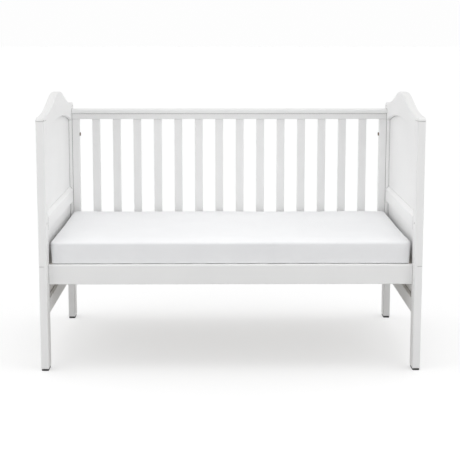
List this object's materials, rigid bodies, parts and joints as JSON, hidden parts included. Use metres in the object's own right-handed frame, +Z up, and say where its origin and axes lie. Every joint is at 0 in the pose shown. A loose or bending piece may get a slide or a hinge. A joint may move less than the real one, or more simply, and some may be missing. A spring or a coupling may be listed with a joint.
{
  "type": "cot bed",
  "caption": "Painted cot bed set up as a toddler's day bed: arched panelled ends, a slatted back, a low front rail and a lift-out mattress.",
  "frame": {"origin": "on the floor, under the middle of the bed's bounding box", "axes": "+X along the bed towards its right end, +Y towards the slatted back side, +Z up; the open front faces -Y"},
  "size_m": [1.472, 0.7954, 1.058],
  "materials": {
    "white_paint": "satin white paint",
    "bare_wood": "planed, unfinished",
    "bronzed_steel": "bronzed",
    "zinc_steel": "zinc plated",
    "foot_rubber": "matte",
    "sheet_cotton": "fitted cotton sheet"
  },
  "bodies": {
    "frame": {"left_top_board": "white_paint", "left_front_post": "white_paint", "left_rear_post": "white_paint", "left_front_leg": "white_paint", "left_rear_leg": "white_paint", "left_mid_rail": "white_paint", "left_lower_rail": "white_paint", "left_upper_panel": "white_paint", "left_lower_panel": "white_paint", "left_front_foot_pad": "foot_rubber", "left_rear_foot_pad": "foot_rubber", "right_top_board": "white_paint", "right_front_post": "white_paint", "right_rear_post": "white_paint", "right_front_leg": "white_paint", "right_rear_leg": "white_paint", "right_mid_rail": "white_paint", "right_lower_rail": "white_paint", "right_upper_panel": "white_paint", "right_lower_panel": "white_paint", "right_front_foot_pad": "foot_rubber", "right_rear_foot_pad": "foot_rubber", "back_cap_rail": "white_paint", "back_top_rail": "white_paint", "back_bottom_rail": "white_paint", "back_left_stile": "white_paint", "back_right_stile": "white_paint", "back_slat_1": "white_paint", "back_slat_2": "white_paint", "back_slat_3": "white_paint", "back_slat_4": "white_paint", "back_slat_5": "white_paint", "back_slat_6": "white_paint", "back_slat_7": "white_paint", "back_slat_8": "white_paint", "back_slat_9": "white_paint", "back_slat_10": "white_paint", "back_slat_11": "white_paint", "back_slat_12": "white_paint", "back_slat_13": "white_paint", "back_slat_14": "white_paint", "front_rail": "white_paint", "front_ledger": "bare_wood", "back_ledger": "bare_wood", "base_front_bearer": "bare_wood", "base_centre_bearer": "bare_wood", "base_rear_bearer": "bare_wood", "base_left_end_rail": "bare_wood", "base_right_end_rail": "bare_wood", "base_slats": "bare_wood", "back_side_bolts": "bronzed_steel", "front_rail_bolts": "bronzed_steel", "back_side_inserts": "zinc_steel", "front_rail_barrel_nuts": "zinc_steel", "leg_studs": "zinc_steel", "spare_inserts": "zinc_steel", "wood_screws": "zinc_steel", "joint_dowels": "bare_wood"},
    "mattress": {"mattress": "sheet_cotton"}
  },
  "joints": [
    {"name": "mattress_lift", "type": "slide", "parent": "frame", "child": "mattress", "axis": [0, 0, 1], "range_m": [0, 0.66]}
  ]
}
